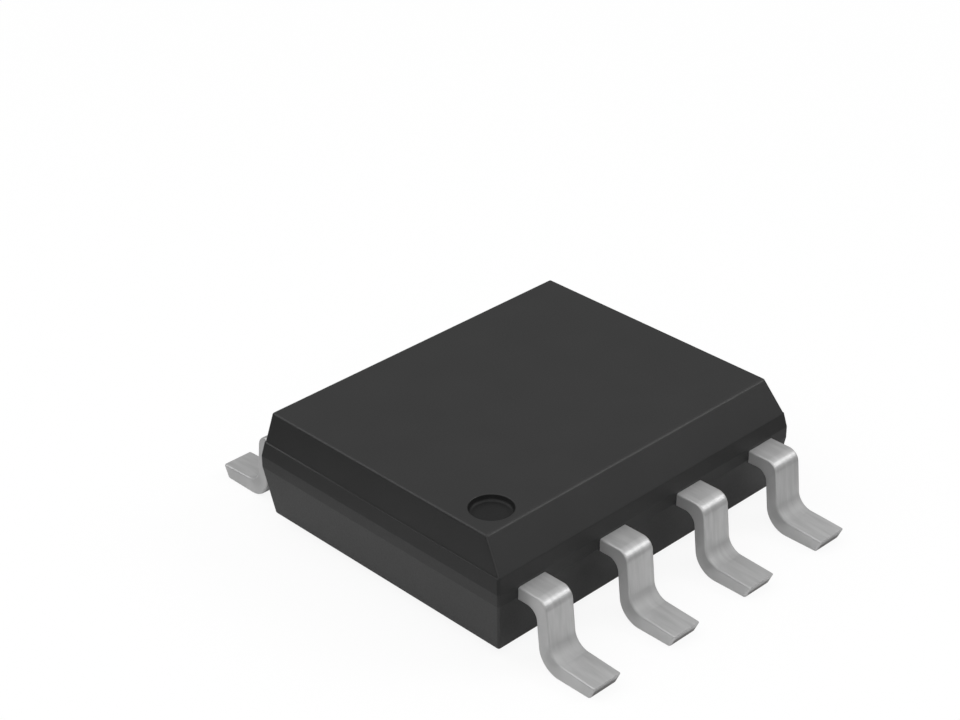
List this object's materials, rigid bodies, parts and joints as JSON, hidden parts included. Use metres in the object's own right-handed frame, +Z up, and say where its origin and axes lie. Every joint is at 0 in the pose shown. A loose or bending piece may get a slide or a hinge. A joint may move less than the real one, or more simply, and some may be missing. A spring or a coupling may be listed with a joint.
{
  "type": "operational amplifier chip",
  "caption": "Surface-mount amplifier chip: dark moulded body with a chamfered top edge and a round orientation dimple, and bent gull-wing leads along both sides for soldering to a board.",
  "frame": {"origin": "on the board that the feet stand on, under the middle of the moulded body", "axes": "+Z up from the board, +X along the lead rows, +Y across them from leads 1 to 4 towards leads 5 to 8"},
  "size_m": [0.0048, 0.0062, 0.0015],
  "materials": {
    "mould_compound": "matte moulded epoxy with a fine grain",
    "tinned_lead": "satin tin plating",
    "paddle_copper": "satin copper alloy",
    "die_adhesive": "silver-filled adhesive",
    "silicon": "polished silicon",
    "gold_wire": "bright gold"
  },
  "bodies": {
    "root": {"moulded_body": "mould_compound", "lead_1": "tinned_lead", "lead_2": "tinned_lead", "lead_3": "tinned_lead", "lead_4": "tinned_lead", "lead_5": "tinned_lead", "lead_6": "tinned_lead", "lead_7": "tinned_lead", "lead_8": "tinned_lead", "die_paddle": "paddle_copper", "die_attach": "die_adhesive", "silicon_die": "silicon", "bond_wire_1": "gold_wire", "bond_wire_2": "gold_wire", "bond_wire_3": "gold_wire", "bond_wire_4": "gold_wire", "bond_wire_5": "gold_wire", "bond_wire_6": "gold_wire", "bond_wire_7": "gold_wire", "bond_wire_8": "gold_wire"}
  },
  "joints": []
}
